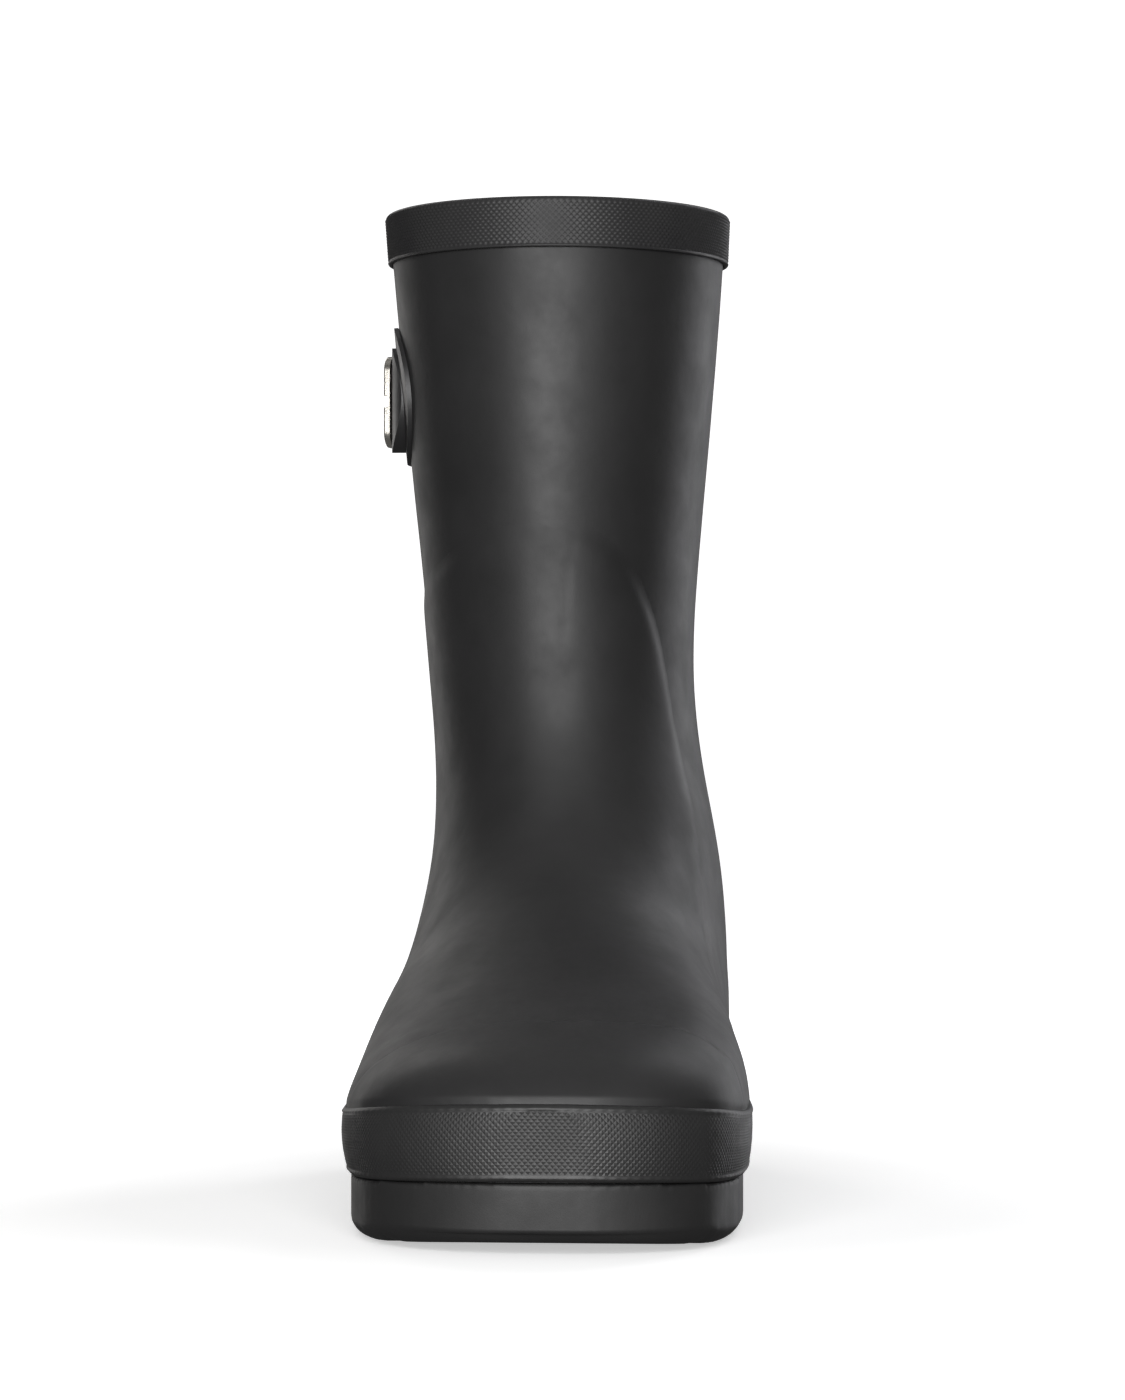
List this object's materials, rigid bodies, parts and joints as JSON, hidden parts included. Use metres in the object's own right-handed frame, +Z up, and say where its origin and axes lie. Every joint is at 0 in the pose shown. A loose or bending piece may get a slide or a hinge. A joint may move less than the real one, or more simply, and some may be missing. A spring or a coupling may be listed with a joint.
{
  "type": "rubber rain boot",
  "caption": "Right-foot mid-calf rubber rain boot in matte black with textured foxing, knurled collar and a buckled side strap.",
  "frame": {"origin": "on the ground under the middle of the boot's box", "axes": "+Z up the leg, -Y to the toe, -X to the outer side with the buckle"},
  "size_m": [0.1171, 0.2859, 0.293],
  "materials": {
    "upper_rubber": "matte",
    "knurled_rubber": "diamond knurl",
    "foxing_rubber": "fine mesh texture",
    "sole_rubber": "matte",
    "strap_rubber": "satin",
    "lining": "knit",
    "stiffener": "matte",
    "steel": "brushed",
    "filler_foam": "foam",
    "board": "fibreboard",
    "footbed_foam": "foam",
    "cover_cloth": "woven",
    "buckle_metal": "polished"
  },
  "bodies": {
    "root": {"upper_shell": "upper_rubber", "leg_lining": "lining", "heel_counter": "stiffener", "toe_puff": "stiffener", "collar_band": "knurled_rubber", "foxing_band": "foxing_rubber", "vamp_overlay": "upper_rubber", "toe_cap": "upper_rubber", "heel_guard": "upper_rubber", "back_strip": "upper_rubber", "outsole": "sole_rubber", "shank": "steel", "sole_filler": "filler_foam", "insole_board": "board", "footbed_front": "footbed_foam", "cover_front": "cover_cloth", "strap_patch": "strap_rubber", "buckle_patch": "strap_rubber", "strap": "strap_rubber", "strap_keeper": "strap_rubber", "buckle_chape": "strap_rubber"},
    "footbed": {"footbed_rear": "footbed_foam", "cover_rear": "cover_cloth"},
    "frame": {"buckle_frame": "buckle_metal", "buckle_bar": "buckle_metal"},
    "prong": {"buckle_prong": "buckle_metal"}
  },
  "joints": [
    {"name": "footbed_lift", "type": "hinge", "parent": "root", "child": "footbed", "pos_m": [0, -0.0592, 0.0274], "axis": [1, 0, 0], "range_deg": [0, 8]},
    {"name": "frame_tilt", "type": "hinge", "parent": "root", "child": "frame", "pos_m": [-0.05402, 0.09329, 0.2365], "axis": [0, 0, -1], "range_deg": [0, 12]},
    {"name": "prong_lift", "type": "hinge", "parent": "frame", "child": "prong", "pos_m": [-0.05402, 0.09329, 0.2365], "axis": [0, 0, -1], "range_deg": [0, 8]}
  ]
}
